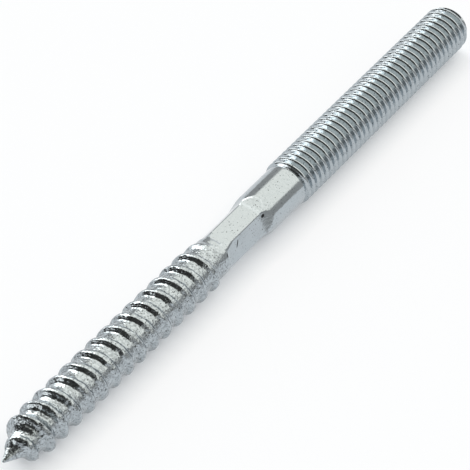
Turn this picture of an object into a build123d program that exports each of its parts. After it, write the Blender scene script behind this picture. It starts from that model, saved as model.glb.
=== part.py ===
from build123d import *
import math
import os

os.makedirs("parts", exist_ok=True)

# Hanger bolt: a double-ended stud rolled from one steel blank.
# Wood thread with a sharp point at -X, metric thread at +X, and a pressed hexagon
# between them for a spanner. It lies on its threads, with its axis along X.
# The wood thread is a real ridge. The metric thread's crests are a plain cylinder.

# ---- Driving dimensions (millimetres and degrees) ----------------------------------

# Metric end
metric_d = 7.9                  # major diameter of the M8 thread, as rolled and plated
metric_thread_length = 48.9
metric_start_length = 0.5       # bevel where the thread begins on the blank
metric_end_length = 1.8         # length of the rounded end
metric_end_d = 5.8              # flat left at the rounded end
metric_end_bulge = 0.15         # how far the rounded end stands out of a straight bevel

# Rolled blank between the threads
blank_d = 7.2
blank_length = 7.9              # plain round stretch beside the metric thread

# Pressed hexagon
hex_sides = 6
hex_across_flats = 5.9
hex_length = 8.5                # full-depth flats
hex_ramp_length = 2.7           # slope of each flat back up to the blank
hex_run_in_length = 1.4         # slope of each flat at the wood end
press_overreach = 1.0           # the cut that makes a flat starts this far outside the blank

# Core of the wood end
wood_core_length = 49.2         # from the point to the hexagon's run-in
wood_core_d = 6.4               # behind the taper
wood_core_front_d = 5.0         # where the point's cone ends
wood_taper_end = 18.0           # the core swells up to here, measured from the point
point_cone_length = 5.2
point_r = 0.15

# Ridge of the wood thread
wood_crest_d = 7.48
wood_pitch = 3.05
wood_crest_width = 0.5
wood_foot_width = 2.5           # of the whole ridge, at its foot inside the core
wood_full_crest = 7.0           # the crest reaches full size here, from the point
wood_ridge_start = 1.5          # middle of the ridge's first end, from the point
wood_start_angle = 244.0        # where round the axis the ridge starts
wood_lead_turns = 0.9           # the ridge rises out of the cone over these turns
wood_runout_turns = 0.6         # and sinks back into the core over these
wood_ridge_sink = 0.15          # the ridge's foot lies this far inside the core
wood_crest_sink = 0.1           # and so does its crest, before it rises out of the core
ridge_least_r = 0.075           # nothing of the ridge comes nearer to the axis
pieces_per_turn = 2
steps_per_piece = 6
tangent_turns = 0.001           # half the stretch over which an edge's direction is taken

# ---- Stations along the stud, worked out from the sizes above ----------------------

overall_length = (
    wood_core_length + hex_run_in_length + hex_length + hex_ramp_length
    + blank_length + metric_thread_length
)
x_point = -overall_length / 2
x_core_end = x_point + wood_core_length
x_hex = x_core_end + hex_run_in_length
x_ramp = x_hex + hex_length
x_blank = x_ramp + hex_ramp_length
x_metric = x_blank + blank_length
x_end = x_metric + metric_thread_length

axis_height = max(metric_d, wood_crest_d, blank_d) / 2
long_axis = Axis((0, 0, axis_height), (1, 0, 0))
lengthwise = Plane(origin=(0, 0, axis_height), x_dir=(1, 0, 0), z_dir=(0, -1, 0))

# ---- Wood thread: one ridge wound round the core -----------------------------------

x_ridge = x_point + wood_ridge_start
ridge_turns = (x_hex - wood_foot_width / 2 - x_ridge) / wood_pitch
ridge_pieces = math.ceil(ridge_turns * pieces_per_turn)


def ease(share: float) -> float:
    """Smooth step from 0 to 1."""
    share = min(max(share, 0), 1)
    return share * share * (3 - 2 * share)


def core_radius(x: float) -> float:
    """Radius of the wood end's core at a station along the stud."""
    along = max(x - x_point, 0)
    front_r = wood_core_front_d / 2
    if along < point_cone_length:
        return point_r + (front_r - point_r) * along / point_cone_length
    share = (along - point_cone_length) / (wood_taper_end - point_cone_length)
    return front_r + (wood_core_d / 2 - front_r) * min(share, 1)


def crest_radius(x: float, turns: float) -> float:
    """Radius of the ridge's crest, which leads out of the point and runs out at the end."""
    share = min((x - x_point) / wood_full_crest, 1)
    full = wood_crest_d / 2 * math.sin(share * math.pi / 2)
    hidden = core_radius(x) - wood_crest_sink
    height = ease(turns / wood_lead_turns) * ease((ridge_turns - turns) / wood_runout_turns)
    return hidden + (full - hidden) * height


def ridge_point(turns: float, side: int, at_crest: bool) -> Vector:
    """Point on a long edge of the ridge: on the point's side (-1) or the other (1)."""
    x = x_ridge + wood_pitch * turns
    radius = crest_radius(x, turns)
    x += side * (wood_crest_width if at_crest else wood_foot_width) / 2
    if not at_crest:
        radius = max(core_radius(x) - wood_ridge_sink, ridge_least_r)
    angle = math.radians(wood_start_angle + 360 * turns)
    return Vector(x, radius * math.cos(angle), axis_height + radius * math.sin(angle))


def ridge_edge(first: float, last: float, side: int, at_crest: bool) -> Edge:
    """A long edge of the ridge between two numbers of turns."""
    turns = [first + (last - first) * step / steps_per_piece for step in range(steps_per_piece + 1)]
    points = [ridge_point(turn, side, at_crest) for turn in turns]
    tangents = [
        ridge_point(turn + tangent_turns, side, at_crest)
        - ridge_point(turn - tangent_turns, side, at_crest)
        for turn in (first, last)
    ]
    return Edge.make_spline(points, tangents, parameters=list(range(steps_per_piece + 1)))


corners = [(-1, False), (-1, True), (1, True), (1, False)]
ridge_faces = []
for piece in range(ridge_pieces):
    first = ridge_turns * piece / ridge_pieces
    last = ridge_turns * (piece + 1) / ridge_pieces
    ring = [ridge_edge(first, last, *corner) for corner in corners]
    ridge_faces += [Face.make_surface_from_curves(a, b) for a, b in zip(ring, ring[1:] + ring[:1])]
for turn in (0, ridge_turns):
    ridge_faces.append(Face(Wire.make_polygon([ridge_point(turn, *corner) for corner in corners])))
wood_ridge = Solid(Shell(ridge_faces))

# ---- The stud ----------------------------------------------------------------------

with BuildPart() as hanger_bolt:
    # Half section of the blank, turned about the long axis
    with BuildSketch(lengthwise):
        with BuildLine():
            Polyline(
                (x_end, 0),
                (x_point, 0),
                (x_point, point_r),
                (x_point + point_cone_length, wood_core_front_d / 2),
                (x_point + wood_taper_end, wood_core_d / 2),
                (x_core_end, wood_core_d / 2),
                (x_hex, blank_d / 2),
                (x_metric, blank_d / 2),
                (x_metric + metric_start_length, metric_d / 2),
                (x_end - metric_end_length, metric_d / 2),
            )
            SagittaArc(
                (x_end - metric_end_length, metric_d / 2),
                (x_end, metric_end_d / 2),
                metric_end_bulge,
            )
            Line((x_end, metric_end_d / 2), (x_end, 0))
        make_face()
    revolve(axis=long_axis)

    add(wood_ridge)

    # Six flats pressed into the blank, each with a slope at both ends
    with BuildSketch(lengthwise):
        with BuildLine():
            Polyline(
                (x_core_end, blank_d / 2 + press_overreach),
                (x_core_end, blank_d / 2),
                (x_hex, hex_across_flats / 2),
                (x_ramp, hex_across_flats / 2),
                (x_blank, blank_d / 2),
                (x_blank, blank_d / 2 + press_overreach),
                close=True,
            )
        make_face()
    flat_press = extrude(amount=blank_d, both=True, mode=Mode.PRIVATE)
    for number in range(hex_sides):
        add(flat_press.rotate(long_axis, 360 / hex_sides * number), mode=Mode.SUBTRACT)

hanger_bolt.part.label = "hanger_bolt"
export_step(hanger_bolt.part, "parts/hanger_bolt.step")
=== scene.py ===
"""Visual model of a hanger bolt: two rolled threads, a pressed hexagon, bright zinc plating.

Places along the stud are measured from its sharp point, in millimetres, and angles round it
go from +Y towards +Z. The finished mesh is scaled to metres and moved to where the packed
stud lies.
"""

import logging
import math
from dataclasses import dataclass, field
from enum import Enum

import bmesh
import bpy
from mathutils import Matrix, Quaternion, Vector, noise


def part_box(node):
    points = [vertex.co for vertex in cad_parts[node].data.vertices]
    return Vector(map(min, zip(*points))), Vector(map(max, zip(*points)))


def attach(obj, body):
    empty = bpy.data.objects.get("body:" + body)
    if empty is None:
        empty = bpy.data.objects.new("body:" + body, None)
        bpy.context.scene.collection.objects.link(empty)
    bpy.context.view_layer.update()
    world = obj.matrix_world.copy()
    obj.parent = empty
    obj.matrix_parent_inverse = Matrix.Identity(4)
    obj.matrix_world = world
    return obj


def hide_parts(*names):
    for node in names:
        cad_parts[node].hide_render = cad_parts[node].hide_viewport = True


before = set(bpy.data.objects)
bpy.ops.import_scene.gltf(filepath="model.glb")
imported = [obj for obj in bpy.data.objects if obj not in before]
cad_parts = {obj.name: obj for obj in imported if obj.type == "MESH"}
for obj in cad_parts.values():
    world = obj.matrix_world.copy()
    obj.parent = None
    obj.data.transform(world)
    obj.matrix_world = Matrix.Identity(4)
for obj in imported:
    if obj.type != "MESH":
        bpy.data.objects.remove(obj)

log = logging.getLogger("hanger_bolt")

NODE = "hanger_bolt"
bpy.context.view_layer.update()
NODE_LOW, NODE_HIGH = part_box(NODE)

MM = 0.001                  # a millimetre in metres
COLUMNS = 96                # mesh columns round the stud, a multiple of the hexagon's sides
WELD = 0.002                # vertices nearer to each other than this, in millimetres, are one
RIM_WELD = 0.01             # and so are those on the rim of a cut
ON_RIM = 1e-4               # a vertex this near to a cut lies on its rim
ON_CUT = 1e-5               # and one this near is not cut again
ON_COLUMN = 0.02            # share of the space between columns that counts as on a column

ALONG = Vector((1.0, 0.0, 0.0))
BACK = Vector((0.0, 1.0, 0.0))
UP = Vector((0.0, 0.0, 1.0))


# ---- Small helpers ------------------------------------------------------------------


def ease(share: float) -> float:
    """Return a smooth step from 0 to 1 as share goes from 0 to 1."""
    share = min(max(share, 0.0), 1.0)
    return share * share * (3.0 - 2.0 * share)


def between(value: float, points: list[tuple[float, float]]) -> float:
    """Read a broken line.

    Args:
        value: Where to read it.
        points: The line's corners as (place, height), in rising order of place.

    Returns:
        The height there, held level past either end.
    """
    if value <= points[0][0]:
        return points[0][1]
    for (low, height), (high, next_height) in zip(points, points[1:]):
        if value <= high:
            return height + (next_height - height) * (value - low) / (high - low)
    return points[-1][1]


def soft_min(first: float, second: float, blend: float) -> float:
    """Return the smaller of two lengths, with the corner between them rounded over blend."""
    share = max(blend - abs(first - second), 0.0) / blend
    return min(first, second) - share * share * blend / 4.0


def phase_at(along: float, angle: float, pitch: float, crest: float) -> float:
    """Say where a place lies on a right-hand thread.

    Args:
        along: Distance from the stud's point, in millimetres.
        angle: Angle round the axis, in radians.
        pitch: The thread's pitch in millimetres.
        crest: A place of the crest at angle zero.

    Returns:
        The distance to the nearest crest as a share of the pitch, from -0.5 to 0.5.
    """
    turns = (along - crest) / pitch - angle / math.tau
    return turns - round(turns)


@dataclass(frozen=True)
class Lumps:
    """Smooth noise on the stud's skin, in millimetres."""

    height: float
    along: float                    # size of the lumps along the stud
    across: float                   # and across it
    seed: float                     # any number, which picks another pattern

    def at(self, along: float, angle: float, radius: float) -> float:
        """Return the noise, from about minus to plus its height.

        Args:
            along: Distance from the stud's point, in millimetres.
            angle: Angle round the axis, in radians.
            radius: Radius there, in millimetres.

        Returns:
            The noise at that place.
        """
        place = Vector((
            along / self.along,
            radius * math.cos(angle) / self.across,
            radius * math.sin(angle) / self.across,
        ))
        return self.height * noise.noise(place + Vector((self.seed, self.seed * 0.7, 0.0)))


# ---- Tubes that the stretches are shaped from ---------------------------------------


def off_column(co: Vector) -> bool:
    """Return whether a vertex lies between two of the mesh's columns."""
    columns = math.atan2(co.z, co.y) / math.tau * COLUMNS
    return abs(columns - round(columns)) > ON_COLUMN


def rim_at(tube: bmesh.types.BMesh, place: float) -> list[bmesh.types.BMVert]:
    """Return a tube's vertices that lie at a place along the stud."""
    return [vert for vert in tube.verts if abs(vert.co.x - place) < ON_RIM]


def turned_tube(stations: list[float]) -> bmesh.types.BMesh:
    """Turn a line of vertices into a tube of radius 1 with straight rows.

    Args:
        stations: Places of the rows along the stud.

    Returns:
        A new open tube.
    """
    tube = bmesh.new()
    line = [tube.verts.new((along, 1.0, 0.0)) for along in stations]
    edges = [tube.edges.new(pair) for pair in zip(line, line[1:])]
    bmesh.ops.spin(
        tube, geom=line + edges, cent=(0, 0, 0), axis=ALONG,
        angle=math.tau, steps=COLUMNS, use_merge=True, use_duplicate=False,
    )
    return tube


def screwed_tube(
    start: float, end: float, pitch: float, crest: float, rows: list[float],
) -> bmesh.types.BMesh:
    """Screw a pitch of rows into a tube of radius 1, and cut both ends square.

    Args:
        start: Place of the first end.
        end: Place of the second end.
        pitch: How far a row moves along in one turn.
        crest: A place of the crest at angle zero, which gets the row at 0.5.
        rows: Places of the rows within a pitch, rising from 0 to 1.

    Returns:
        A new open tube, with one vertex for each column at both ends.
    """
    first = crest - pitch / 2
    first -= pitch * math.ceil((first - start) / pitch + 1)
    turns = math.ceil((end - first) / pitch)
    tube = bmesh.new()
    line = [tube.verts.new((first + share * pitch, 1.0, 0.0)) for share in rows]
    edges = [tube.edges.new(pair) for pair in zip(line, line[1:])]
    bmesh.ops.spin(
        tube, geom=line + edges, cent=(0, 0, 0), axis=ALONG, angle=math.tau,
        dvec=(pitch / COLUMNS, 0, 0), steps=COLUMNS, use_merge=False, use_duplicate=False,
    )
    one_turn = tube.verts[:] + tube.edges[:] + tube.faces[:]
    for turn in range(1, turns):
        copy = bmesh.ops.duplicate(tube, geom=one_turn)["geom"]
        verts = [item for item in copy if isinstance(item, bmesh.types.BMVert)]
        bmesh.ops.translate(tube, verts=verts, vec=(pitch * turn, 0, 0))
    bmesh.ops.remove_doubles(tube, verts=tube.verts, dist=WELD)
    for place, first_end in ((start, True), (end, False)):
        bmesh.ops.bisect_plane(
            tube, geom=tube.verts[:] + tube.edges[:] + tube.faces[:], dist=ON_CUT,
            plane_co=(place, 0, 0), plane_no=ALONG,
            clear_inner=first_end, clear_outer=not first_end,
        )
        between_columns = [vert for vert in rim_at(tube, place) if off_column(vert.co)]
        bmesh.ops.dissolve_verts(tube, verts=between_columns)
        bmesh.ops.remove_doubles(tube, verts=rim_at(tube, place), dist=RIM_WELD)
    return tube


def join_tubes(tubes: list[bmesh.types.BMesh]) -> bmesh.types.BMesh:
    """Join tubes end to end, and free them.

    Args:
        tubes: Tubes whose ends meet, in order.

    Returns:
        One new tube, open at its two ends.
    """
    whole = bmesh.new()
    for tube in tubes:
        mesh = bpy.data.meshes.new("stretch")
        tube.to_mesh(mesh)
        tube.free()
        whole.from_mesh(mesh)
        bpy.data.meshes.remove(mesh)
    rims = [vert for vert in whole.verts if vert.is_boundary]
    bmesh.ops.remove_doubles(whole, verts=rims, dist=WELD)
    return whole


def close_end(tube: bmesh.types.BMesh, place: float, peak: float) -> None:
    """Close a tube's end with a fan.

    Args:
        tube: The tube, which this changes.
        place: Place of the end's rim.
        peak: Place of the fan's middle.
    """
    rim = set(rim_at(tube, place))
    edges = [edge for edge in tube.edges if edge.is_boundary and edge.verts[0] in rim]
    faces = bmesh.ops.edgeloop_fill(tube, edges=edges)["faces"]
    for vert in bmesh.ops.poke(tube, faces=faces)["verts"]:
        vert.co = (peak, 0.0, 0.0)


def spaced(start: float, end: float, step: float) -> list[float]:
    """Return places from start to end, both included, at most step apart."""
    count = math.ceil((end - start) / step)
    return [start + (end - start) * number / count for number in range(count + 1)]


# ---- The stretches of the stud ------------------------------------------------------


class Skin(Enum):
    """How the rolls or the press left the skin, as a share of the deepest crumpling."""

    CRUMPLED = 1.0
    DENTED = 0.25
    SCUFFED = 0.15
    PRESSED = 0.07


@dataclass
class WoodThread:
    """The wood end: a tapered core and a rolled ridge that leads out of a sharp point."""

    start: float = 0.12
    end: float = 50.6
    tip_r: float = 0.15
    cone_length: float = 5.2
    front_r: float = 2.5            # where the cone ends
    taper_end: float = 18.0
    core_r: float = 3.2
    crest_r: float = 3.74
    crest_half: float = 0.2         # half the width of the ridge's rounded crest
    flank: float = 0.7              # how far a flank reaches along the stud
    pitch: float = 3.05
    full_crest: float = 7.0
    ridge_start: float = 1.5
    start_angle: float = 244.0
    lead_turns: float = 0.9
    ridge_end: float = 49.5
    runout_turns: float = 0.6
    wander: tuple[Lumps, ...] = (Lumps(0.09, 1.5, 1.2, 40.0), Lumps(0.18, 0.45, 0.55, 60.0))
    wander_r: float = 3.5
    crinkle: tuple[Lumps, ...] = (Lumps(0.03, 0.9, 0.9, 3.0), Lumps(0.025, 0.35, 0.45, 7.0))
    crinkle_r: float = 3.4
    smooth_tip: float = 3.0         # the crinkle grows to its full height here
    smooth_end: float = 1.5         # and fades over this length before the hexagon
    rows: list[float] = field(default_factory=lambda: [
        0.0, 0.05, 0.10, 0.15, 0.20, 0.245, 0.29, 0.335, 0.38, 0.42, 0.46,
        0.5, 0.54, 0.58, 0.62, 0.665, 0.71, 0.755, 0.80, 0.85, 0.90, 0.95, 1.0,
    ])

    @property
    def crest(self) -> float:
        """Place of a crest at angle zero."""
        return self.ridge_start - self.pitch * self.start_angle / 360.0

    def core(self, along: float) -> float:
        """Return the radius between the ridge's turns."""
        return between(along, [
            (0.0, self.tip_r), (self.cone_length, self.front_r), (self.taper_end, self.core_r),
        ])

    def rise(self, middle: float) -> float:
        """Return the ridge's height over the core where its middle is at a place."""
        full = self.crest_r * math.sin(min(middle / self.full_crest, 1.0) * math.pi / 2)
        led_in = ease((middle - self.ridge_start) / self.pitch / self.lead_turns)
        run_out = ease((self.ridge_end - middle) / self.pitch / self.runout_turns)
        return max(full - self.core(middle), 0.0) * led_in * run_out

    def ridge(self, along: float, angle: float) -> float:
        """Return the ridge's height over the core at a place on the skin.

        Args:
            along: Distance from the stud's point, in millimetres.
            angle: Angle round the axis, in radians.

        Returns:
            The height: a steep step at the crest, on a broad foot where the core is thin.
        """
        phase = phase_at(along, angle, self.pitch, self.crest)
        rise = self.rise(max(along - phase * self.pitch, 0.0))
        if rise <= 0.0:
            return 0.0
        aside = abs(phase) * self.pitch
        aside += sum(lumps.at(along, angle, self.wander_r) for lumps in self.wander)
        step = min(rise, self.crest_r - self.core_r)
        foot = (rise - step) * (1.0 - min(aside / self.pitch * 2, 1.0))
        return foot + step * (1.0 - ease((aside - self.crest_half) / self.flank))

    def roughness(self, along: float, angle: float) -> float:
        """Return how far rolling lifts or dents the skin at a place."""
        height = sum(lumps.at(along, angle, self.crinkle_r) for lumps in self.crinkle)
        return height * ease(along / self.smooth_tip) * ease((self.end - along) / self.smooth_end)

    def tube(self) -> bmesh.types.BMesh:
        """Return the screwed tube that this stretch is shaped from."""
        return screwed_tube(self.start, self.end, self.pitch, self.crest, self.rows)


@dataclass
class Shank:
    """The blank between the threads, with six flats pressed into it for a spanner."""

    end: float = 69.7
    blank_r: float = 3.6
    sides: int = 6
    flat_r: float = 2.95            # from the axis to a flat
    neck: float = 48.6              # where the wood end's core starts to narrow
    run_in: float = 49.7
    run_in_r: float = 2.98
    shoulder: float = 52.6
    shoulder_r: float = 3.42
    full_blank: float = 53.6
    ramp: float = 59.1
    ramp_end: float = 61.8
    ramp_curve: float = 0.8         # share of the ramp that curves up from the flat
    edge: float = 0.05              # rounding where the flats meet the round blank
    corner: float = 0.16            # rounding of the corners between flats
    corner_end: float = 59.8
    corner_angle: float = 35.0      # edges sharper than this, in degrees, are such corners
    row_step: float = 0.3

    def radius(self, along: float, angle: float, core: float) -> float:
        """Return the surface's radius at a place.

        Args:
            along: Distance from the stud's point, in millimetres.
            angle: Angle round the axis, in radians.
            core: Radius of the wood end's core, which the blank starts from.

        Returns:
            The radius, flats included.
        """
        blank = between(along, [
            (self.neck, core), (self.run_in, self.run_in_r),
            (self.shoulder, self.shoulder_r), (self.full_blank, self.blank_r),
        ])
        climb = max(along - self.ramp, 0.0) / (self.ramp_end - self.ramp)
        curve = self.ramp_curve
        climb = climb * climb if climb < curve else curve * (2.0 * climb - curve)
        climb /= curve * (2.0 - curve)
        flat = self.flat_r + (self.blank_r - self.flat_r) * climb
        side = math.tau / self.sides
        turned = (angle - math.pi / 2 + side / 2) % side - side / 2
        return soft_min(blank, flat / math.cos(turned), self.edge)

    def tube(self, start: float) -> bmesh.types.BMesh:
        """Return the straight tube that this stretch is shaped from, from start on."""
        return turned_tube(spaced(start, self.end, self.row_step))

    def round_corners(self, mesh: bmesh.types.BMesh) -> None:
        """Round the corners between the flats of a shaped mesh, whose normals are up to date."""
        corners = []
        for edge in mesh.edges:
            places = [vert.co.x for vert in edge.verts]
            if self.shoulder < min(places) and max(places) < self.corner_end:
                if edge.calc_face_angle() > math.radians(self.corner_angle):
                    corners.append(edge)
        bmesh.ops.bevel(
            mesh, geom=corners, offset=self.corner, offset_type="OFFSET", segments=3,
            profile=0.5, affect="EDGES",
        )


@dataclass
class MetricThread:
    """The machine end: a coarse M8 thread rolled up to a rounded end."""

    end: float = 118.6
    crest_r: float = 3.938
    pitch: float = 1.25
    depth: float = 0.767
    crest_share: float = 0.18       # width of the crest and of the root, as shares of the pitch
    root_share: float = 0.2
    softness: float = 0.35          # how far a flank is an S-curve and not straight
    crest: float = 0.37             # place of a crest at angle zero, past a whole pitch
    lead_turns: float = 0.6
    end_length: float = 1.8
    end_r: float = 2.9
    end_bulge: float = 0.15         # how far the rounded end stands out of a straight bevel
    rows: list[float] = field(default_factory=lambda: [
        0.0, 0.09, 0.15, 0.28, 0.39, 0.44, 0.5, 0.56, 0.61, 0.72, 0.85, 0.91, 1.0,
    ])

    def radius(self, along: float, angle: float, blank_r: float, start: float) -> float:
        """Return the surface's radius at a place.

        Args:
            along: Distance from the stud's point, in millimetres.
            angle: Angle round the axis, in radians.
            blank_r: Radius of the blank that the thread is rolled into.
            start: Place where the thread starts.

        Returns:
            The radius, limited by the rounded end.
        """
        phase = abs(phase_at(along, angle, self.pitch, self.crest)) * 2
        down = (phase - self.crest_share) / (1.0 - self.crest_share - self.root_share)
        down = min(max(down, 0.0), 1.0)
        down += (ease(down) - down) * self.softness
        led_in = ease((along - start) / self.pitch / self.lead_turns)
        radius = blank_r + (self.crest_r - self.depth * down - blank_r) * led_in
        share = min(max((along - self.end + self.end_length) / self.end_length, 0.0), 1.0)
        bevel = self.crest_r + (self.end_r - self.crest_r) * share
        bevel += self.end_bulge * 4 * share * (1.0 - share)
        return min(radius, bevel)

    def tube(self, start: float) -> bmesh.types.BMesh:
        """Return the screwed tube that this stretch is shaped from, from start on."""
        return screwed_tube(start, self.end, self.pitch, self.crest, self.rows)


# ---- Shader nodes -------------------------------------------------------------------


Level = bpy.types.NodeSocket | float


class Operation(Enum):
    """What a math node does with its values."""

    ADD = "ADD"
    SUBTRACT = "SUBTRACT"
    MULTIPLY = "MULTIPLY"
    MULTIPLY_ADD = "MULTIPLY_ADD"
    MAXIMUM = "MAXIMUM"


def linear(hex_colour: str) -> tuple[float, float, float, float]:
    """Convert an sRGB hex colour such as "#b1bbbd" to linear RGBA."""
    channels = [int(hex_colour[place:place + 2], 16) / 255 for place in (1, 3, 5)]
    red, green, blue = [
        level / 12.92 if level <= 0.04045 else ((level + 0.055) / 1.055) ** 2.4
        for level in channels
    ]
    return red, green, blue, 1.0


def add_node(
    tree: bpy.types.NodeTree, kind: str, settings: dict[str, object] | None = None,
    **inputs: object,
) -> bpy.types.Node:
    """Add a node to a tree.

    Args:
        tree: The node tree.
        kind: The node's type name.
        settings: Properties of the node, by name.
        inputs: Values or output sockets for its inputs, by name with _ for a space, or by
            place as in i0.

    Returns:
        The new node.
    """
    node = tree.nodes.new(kind)
    for name, value in (settings or {}).items():
        setattr(node, name, value)
    for name, value in inputs.items():
        by_place = name[0] == "i" and name[1:].isdigit()
        socket = node.inputs[int(name[1:]) if by_place else name.replace("_", " ")]
        if isinstance(value, bpy.types.NodeSocket):
            tree.links.new(value, socket)
        else:
            socket.default_value = value
    return node


def combined(
    tree: bpy.types.NodeTree, operation: Operation, *values: Level,
) -> bpy.types.NodeSocket:
    """Add a math node.

    Args:
        tree: The node tree.
        operation: What the node does.
        values: The node's values, in its own order.

    Returns:
        Its outcome.
    """
    inputs = {f"i{place}": value for place, value in enumerate(values)}
    node = add_node(tree, "ShaderNodeMath", {"operation": operation.value}, **inputs)
    return node.outputs["Value"]


def spread(
    tree: bpy.types.NodeTree, value: Level, ends: tuple[float, float],
    results: tuple[float, float] = (0.0, 1.0), smooth: bool = False,
) -> bpy.types.NodeSocket:
    """Add a node that spreads part of a value's range over another range.

    Args:
        tree: The node tree.
        value: The value.
        ends: The two ends of the part that counts.
        results: What the value becomes at those ends and past them.
        smooth: Whether it goes from one to the other in an S-curve.

    Returns:
        The spread value.
    """
    settings = {"interpolation_type": "SMOOTHSTEP" if smooth else "LINEAR"}
    return add_node(
        tree, "ShaderNodeMapRange", settings, Value=value, From_Min=ends[0], From_Max=ends[1],
        To_Min=results[0], To_Max=results[1],
    ).outputs["Result"]


def lumpy(
    tree: bpy.types.NodeTree, place: bpy.types.NodeSocket, size_mm: float, detail: float,
) -> bpy.types.NodeSocket:
    """Add smooth noise with lumps of a real size.

    Args:
        tree: The node tree.
        place: Place on the object, in metres.
        size_mm: Size of the largest lumps.
        detail: How many halvings of that size are added.

    Returns:
        The noise, from 0 to 1.
    """
    return add_node(
        tree, "ShaderNodeTexNoise", Vector=place, Scale=1 / (size_mm * MM), Detail=detail,
    ).outputs["Fac"]


def mixed(
    tree: bpy.types.NodeTree, share: Level, first: object, last: object,
) -> bpy.types.NodeSocket:
    """Return the colour a share of the way from the first colour to the last."""
    node = add_node(tree, "ShaderNodeMix", {"data_type": "RGBA"}, i0=share, i6=first, i7=last)
    return node.outputs[2]


# ---- Finish -------------------------------------------------------------------------


@dataclass(frozen=True)
class Mark:
    """A pit or scratch in the plating: where it lies on the stud, and its size in millimetres."""

    along: float
    degrees: float
    length: float
    width: float
    radius: float                   # of the surface that it is in
    slant: float = 0.0              # how far it is turned out of the stud's length, in degrees
    reach: float = 0.6              # how far it reaches into the stud and out of it
    full: float = 0.7               # it is dark within this share of its size, and fades outside

    def shade(
        self, tree: bpy.types.NodeTree, place: bpy.types.NodeSocket, low: Vector, middle: Vector,
    ) -> bpy.types.NodeSocket:
        """Add the mark's nodes.

        Args:
            tree: The material's node tree.
            place: Place on the stud, in metres.
            low: The stud's lowest corner, where its point is.
            middle: The middle of the stud, which its axis runs through.

        Returns:
            A level that is 1 in the mark and 0 around it.
        """
        angle = math.radians(self.degrees)
        spot = Vector((
            low.x + self.along * MM,
            middle.y + self.radius * math.cos(angle) * MM,
            middle.z + self.radius * math.sin(angle) * MM,
        ))
        turn = Quaternion(ALONG, angle - math.pi / 2) @ Quaternion(UP, math.radians(self.slant))
        size = Vector((self.length / 2, self.width / 2, self.reach)) * MM
        moved = add_node(
            tree, "ShaderNodeMapping", {"vector_type": "TEXTURE"}, Vector=place, Location=spot,
            Rotation=turn.to_euler(), Scale=size,
        ).outputs["Vector"]
        away = add_node(tree, "ShaderNodeVectorMath", {"operation": "LENGTH"}, i0=moved)
        return spread(tree, away.outputs["Value"], (self.full, 1.0), (1.0, 0.0))


@dataclass(frozen=True)
class BrightZincPlating:
    """Clear-passivated zinc on rolled steel: cool, shiny, with fine dents from the rolls."""

    colour: str = "#b3bbc0"
    pit_colour: str = "#3a3d3f"
    spot_colour: str = "#6f767b"
    dent_mm: float = 0.28
    dent_depth_mm: float = 0.065    # where the rolls crumpled the skin most
    pit_mm: float = 0.22
    pit_ends: tuple[float, float] = (0.69, 0.73)
    pit_growth: float = 0.06        # how much more of the noise is a pit where it is crumpled
    spot_mm: float = 0.42
    spot_ends: tuple[float, float] = (0.42, 0.62)
    spot_share: float = 0.45        # how far the dull spots go towards their colour
    cloud_mm: float = 2.5
    cloud_ends: tuple[float, float] = (0.35, 0.7)
    roughness: tuple[float, float] = (0.0975, 0.1755)
    marks: tuple[Mark, ...] = (
        Mark(60.2, 131.0, 0.8, 0.6, 3.2),
        Mark(53.4, 139.0, 0.26, 1.5, 3.1, -43.0),
        Mark(50.6, 139.0, 0.24, 1.1, 3.1, -43.0),
    )

    def material(self, low: Vector, middle: Vector) -> bpy.types.Material:
        """Return the finish as a material.

        Args:
            low: The stud's lowest corner, where its point is.
            middle: The middle of the stud, which its axis runs through.

        Returns:
            The material. It reads the attribute "crumple", which is 0 where the skin is smooth.
        """
        material = bpy.data.materials.new("bright_zinc_plating")
        material.use_nodes = True
        tree = material.node_tree
        shader = tree.nodes["Principled BSDF"]
        shader.inputs["Metallic"].default_value = 1.0
        place = add_node(tree, "ShaderNodeTexCoord").outputs["Object"]
        attribute = add_node(tree, "ShaderNodeAttribute", {"attribute_name": "crumple"})
        crumple = attribute.outputs["Fac"]

        # Fine dents from the rolls, deep where the skin is crumpled
        depth = combined(tree, Operation.MULTIPLY, crumple, self.dent_depth_mm * MM)
        fine = lumpy(tree, place, self.dent_mm, detail=2.0)
        dents = add_node(tree, "ShaderNodeBump", Height=fine, Strength=1.0, Distance=depth)
        tree.links.new(dents.outputs["Normal"], shader.inputs["Normal"])

        # Small dark pits, more of them where the skin is crumpled, and the marks
        speck = lumpy(tree, place, self.pit_mm, detail=1.0)
        more = combined(tree, Operation.MULTIPLY_ADD, crumple, self.pit_growth, speck)
        dark = spread(tree, more, self.pit_ends)
        for mark in self.marks:
            dark = combined(tree, Operation.MAXIMUM, dark, mark.shade(tree, place, low, middle))

        # Dull grey spots where the skin is crumpled
        spots = lumpy(tree, place, self.spot_mm, detail=3.0)
        spots = spread(tree, spots, self.spot_ends, (0.0, self.spot_share))
        spots = combined(tree, Operation.MULTIPLY, spots, crumple)
        plain = mixed(tree, spots, linear(self.colour), linear(self.spot_colour))
        colour = mixed(tree, dark, plain, linear(self.pit_colour))
        tree.links.new(colour, shader.inputs["Base Color"])

        # Cloudy patches where the plating is a little duller
        cloud = lumpy(tree, place, self.cloud_mm, detail=4.0)
        dull = spread(tree, cloud, self.cloud_ends, self.roughness)
        tree.links.new(dull, shader.inputs["Roughness"])
        return material


# ---- The stud -----------------------------------------------------------------------


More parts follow.
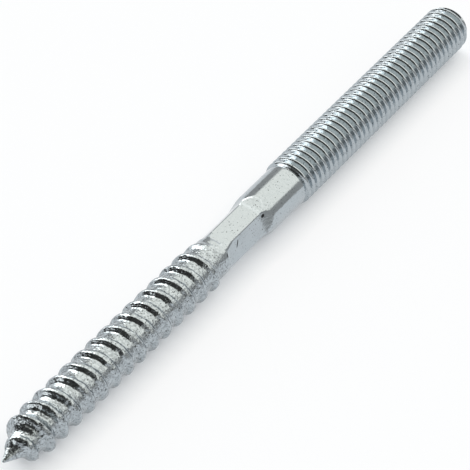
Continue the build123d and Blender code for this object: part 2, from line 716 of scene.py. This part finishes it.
@dataclass
class HangerBolt:
    """The whole stud as one closed mesh."""

    wood: WoodThread = field(default_factory=WoodThread)
    shank: Shank = field(default_factory=Shank)
    metric: MetricThread = field(default_factory=MetricThread)
    finish: BrightZincPlating = field(default_factory=BrightZincPlating)
    sharp_angle: float = 40.0
    skins: list[tuple[float, Skin]] = field(default_factory=lambda: [
        (49.0, Skin.CRUMPLED), (50.5, Skin.PRESSED), (59.3, Skin.PRESSED), (60.0, Skin.DENTED),
        (62.3, Skin.DENTED), (63.0, Skin.SCUFFED), (69.7, Skin.SCUFFED), (70.7, Skin.DENTED),
    ])

    def radius(self, along: float, angle: float) -> float:
        """Return the stud's radius at a place."""
        if along >= self.shank.end:
            return self.metric.radius(along, angle, self.shank.blank_r, self.shank.end)
        core = self.wood.core(along)
        body = self.shank.radius(along, angle, core) if along > self.shank.neck else core
        if along >= self.wood.end:
            return body
        ridge = core + self.wood.ridge(along, angle)
        return max(body, ridge) + self.wood.roughness(along, angle)

    def shape(self) -> bmesh.types.BMesh:
        """Return the stud's form in millimetres, its point at the origin and its axis along X."""
        mesh = join_tubes([
            self.wood.tube(), self.shank.tube(self.wood.end), self.metric.tube(self.shank.end),
        ])
        close_end(mesh, self.wood.start, 0.0)
        close_end(mesh, self.metric.end, self.metric.end)
        for vert in mesh.verts:
            along, y, z = vert.co
            if y == z == 0.0:
                continue
            angle = math.atan2(z, y)
            radius = self.radius(along, angle)
            vert.co = (along, radius * math.cos(angle), radius * math.sin(angle))
        mesh.normal_update()
        self.shank.round_corners(mesh)
        bmesh.ops.recalc_face_normals(mesh, faces=mesh.faces)
        return mesh

    def note_crumple(self, mesh: bmesh.types.BMesh) -> None:
        """Write how crumpled the skin is into the attribute "crumple"."""
        layer = mesh.verts.layers.float.new("crumple")
        levels = [(along, skin.value) for along, skin in self.skins]
        for vert in mesh.verts:
            vert[layer] = between(vert.co.x, levels)

    def build(self) -> bpy.types.Object:
        """Build the stud and return its object."""
        mesh = self.shape()
        self.note_crumple(mesh)
        middle = (NODE_LOW + NODE_HIGH) / 2
        bmesh.ops.scale(mesh, verts=mesh.verts, vec=(MM, MM, MM))
        bmesh.ops.translate(mesh, verts=mesh.verts, vec=(NODE_LOW.x, middle.y, middle.z))
        data = bpy.data.meshes.new("hanger_bolt_skin")
        mesh.to_mesh(data)
        mesh.free()
        data.shade_smooth()
        data.set_sharp_from_angle(angle=math.radians(self.sharp_angle))
        data.materials.append(self.finish.material(NODE_LOW, middle))
        stud = bpy.data.objects.new("hanger_bolt_skin", data)
        bpy.context.scene.collection.objects.link(stud)
        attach(stud, "root")
        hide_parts(NODE)
        triangles = sum(len(polygon.vertices) - 2 for polygon in data.polygons)
        log.info("stud: %d vertices, %d triangles", len(data.vertices), triangles)
        return stud


# ---- Stage --------------------------------------------------------------------------


class Trend(Enum):
    """Which way a level goes as the view turns towards a direction."""

    RISING = (0.0, 1.0)
    FALLING = (1.0, 0.0)


@dataclass(frozen=True)
class Fade:
    """A soft border in the sky: the cosines of the angles to a direction where it lies."""

    towards: Vector
    low: float
    high: float
    trend: Trend = Trend.RISING


@dataclass(frozen=True)
class Panel:
    """A part of the sky: its strength, and the borders that all bound it."""

    strength: float
    borders: tuple[Fade, ...]

    def level(
        self, tree: bpy.types.NodeTree, view: bpy.types.NodeSocket,
    ) -> bpy.types.NodeSocket:
        """Add the panel's nodes.

        Args:
            tree: The world's node tree.
            view: The direction looked in.

        Returns:
            The panel's strength in that direction.
        """
        level: Level = self.strength
        for border in self.borders:
            turned = add_node(
                tree, "ShaderNodeVectorMath", {"operation": "DOT_PRODUCT"},
                i0=view, i1=border.towards.normalized(),
            ).outputs["Value"]
            share = spread(tree, turned, (border.low, border.high), border.trend.value, smooth=True)
            level = combined(tree, Operation.MULTIPLY, share, level)
        return level


@dataclass
class Studio:
    """A plain pale floor under one wide soft box, in a dim room with bright walls."""

    floor_colour: str = "#e6eef8"
    floor_roughness: float = 0.8
    floor_size: float = 12.0        # half its side, in metres
    floor_glow: float = 0.85        # share of the floor that camera and metal see as plain white
    contact_mm: float = 4.5         # the floor glows less where the stud is nearer than this: a painted contact shadow
    box_colour: str = "#fffcf3"
    room_colour: str = "#fffefb"

    # The soft box overhead, and the dim room round it
    box: Panel = Panel(1.48, (Fade(UP - BACK * 0.04, 0.43, 0.52),))
    room: Panel = Panel(0.45, (Fade(UP - BACK * 0.04, 0.43, 0.52, Trend.FALLING),))
    # The room's end wall, which the metric end points at
    end_wall: Panel = Panel(0.6, (Fade(ALONG, 0.66, 0.92),))
    # The dark gap on the point's side, which the flanks show as black bands
    gap: Panel = Panel(0.95, (
        Fade(ALONG, -0.19, -0.08, Trend.FALLING), Fade(BACK + UP * 0.47, -0.42, -0.30),
    ))
    # A brighter strip within the box
    strip: Panel = Panel(0.3, (
        Fade(ALONG, 0.27, 0.36), Fade(ALONG, 0.38, 0.50, Trend.FALLING),
        Fade(UP, 0.60, 0.75), Fade(BACK, -0.35, -0.20),
    ))
    # A bright wall behind the stud, and another beyond its point
    back_wall: Panel = Panel(4.6, (
        Fade(ALONG, -0.10, 0.05), Fade(ALONG, 0.36, 0.48, Trend.FALLING),
        Fade(BACK, 0.50, 0.66), Fade(UP, 0.02, 0.10),
    ))
    point_wall: Panel = Panel(2.7, (
        Fade(ALONG, -0.70, -0.58, Trend.FALLING), Fade(BACK, 0.20, 0.45),
        Fade(UP, 0.20, 0.34, Trend.FALLING),
    ))
    # A faint light straight beyond the point
    far_light: Panel = Panel(0.12, (Fade(ALONG, -0.97, -0.88, Trend.FALLING),))

    def floor_material(self) -> bpy.types.Material:
        """Return the floor's finish: matt pale card that camera and metal see nearly white."""
        material = bpy.data.materials.new("pale_floor")
        material.use_nodes = True
        tree = material.node_tree
        card = tree.nodes["Principled BSDF"]
        card.inputs["Base Color"].default_value = linear(self.floor_colour)
        card.inputs["Roughness"].default_value = self.floor_roughness
        white = add_node(tree, "ShaderNodeEmission", Strength=1.0).outputs["Emission"]
        path = add_node(tree, "ShaderNodeLightPath").outputs
        share = path["Is Camera Ray"]
        for ray in ("Is Glossy Ray", "Is Transmission Ray"):
            share = combined(tree, Operation.MAXIMUM, share, path[ray])
        # The glow fades by ambient occlusion beside the stud, a painted contact shadow, so that the
        # floor's own lit shadow shows there too
        open_sky = add_node(
            tree, "ShaderNodeAmbientOcclusion", {"samples": 8}, Distance=self.contact_mm * MM,
        ).outputs["AO"]
        share = combined(tree, Operation.MULTIPLY, share, open_sky)
        share = combined(tree, Operation.MULTIPLY, share, self.floor_glow)
        surface = add_node(
            tree, "ShaderNodeMixShader", i0=share, i1=card.outputs["BSDF"], i2=white,
        ).outputs["Shader"]
        tree.links.new(surface, tree.nodes["Material Output"].inputs["Surface"])
        return material

    def floor(self) -> bpy.types.Object:
        """Return the floor, on which the stud lies."""
        mesh = bmesh.new()
        bmesh.ops.create_grid(mesh, x_segments=1, y_segments=1, size=self.floor_size)
        data = bpy.data.meshes.new("floor")
        mesh.to_mesh(data)
        mesh.free()
        data.materials.append(self.floor_material())
        floor = bpy.data.objects.new("floor", data)
        bpy.context.scene.collection.objects.link(floor)
        return floor

    def sky(self) -> bpy.types.World:
        """Return the world: box, room and end wall, cut by the gap, and the bright panels."""
        world = bpy.data.worlds.new("studio")
        world.use_nodes = True
        tree = world.node_tree
        view = add_node(tree, "ShaderNodeTexCoord").outputs["Generated"]
        clear = combined(tree, Operation.SUBTRACT, 1.0, self.gap.level(tree, view))
        overhead = combined(tree, Operation.MULTIPLY, self.box.level(tree, view), clear)
        around = combined(
            tree, Operation.ADD, self.room.level(tree, view), self.end_wall.level(tree, view),
        )
        around = combined(tree, Operation.MULTIPLY, around, clear)
        for panel in (self.strip, self.back_wall, self.point_wall, self.far_light):
            around = combined(tree, Operation.ADD, around, panel.level(tree, view))
        lights = [
            add_node(
                tree, "ShaderNodeBackground", Color=linear(colour), Strength=strength,
            ).outputs["Background"]
            for colour, strength in ((self.box_colour, overhead), (self.room_colour, around))
        ]
        whole = add_node(tree, "ShaderNodeAddShader", i0=lights[0], i1=lights[1])
        tree.links.new(whole.outputs["Shader"], tree.nodes["World Output"].inputs["Surface"])
        bpy.context.scene.world = world
        return world

    def build(self) -> None:
        """Build the floor and the light."""
        self.floor()
        self.sky()
        bpy.context.scene.view_settings.view_transform = "Standard"
        log.info("studio: floor and sky")


@dataclass
class Viewpoint:
    """The camera: how it looks at the stud."""

    target_mm: Vector = field(default_factory=lambda: Vector((-2.96, 0.0, 3.95)))
    back: Vector = field(default_factory=lambda: Vector((-0.6088, -0.4194, 0.6734)))
    tip: float = -6.0               # degrees that an upright camera is swung round the stud
    distance_mm: float = 416.7
    lens_mm: float = 213.1
    sensor_mm: float = 36.0

    def build(self) -> bpy.types.Object:
        """Add the camera, look through it and return it."""
        data = bpy.data.cameras.new("camera")
        data.sensor_width = self.sensor_mm
        data.lens = self.lens_mm
        data.clip_start, data.clip_end = 0.01, 100.0
        camera = bpy.data.objects.new("camera", data)
        bpy.context.scene.collection.objects.link(camera)
        back = self.back.normalized()
        swing = Quaternion(ALONG, math.radians(self.tip))
        camera.location = (self.target_mm + swing @ back * self.distance_mm) * MM
        camera.rotation_mode = "QUATERNION"
        camera.rotation_quaternion = swing @ (-back).to_track_quat("-Z", "Y")
        bpy.context.scene.camera = camera
        log.info("camera: %.0f mm away", self.distance_mm)
        return camera


def main() -> None:
    """Build the stud, the studio and the camera in order."""
    logging.basicConfig(level=logging.INFO, format="%(name)s: %(message)s")
    HangerBolt().build()
    Studio().build()
    Viewpoint().build()


if __name__ == "__main__":
    main()
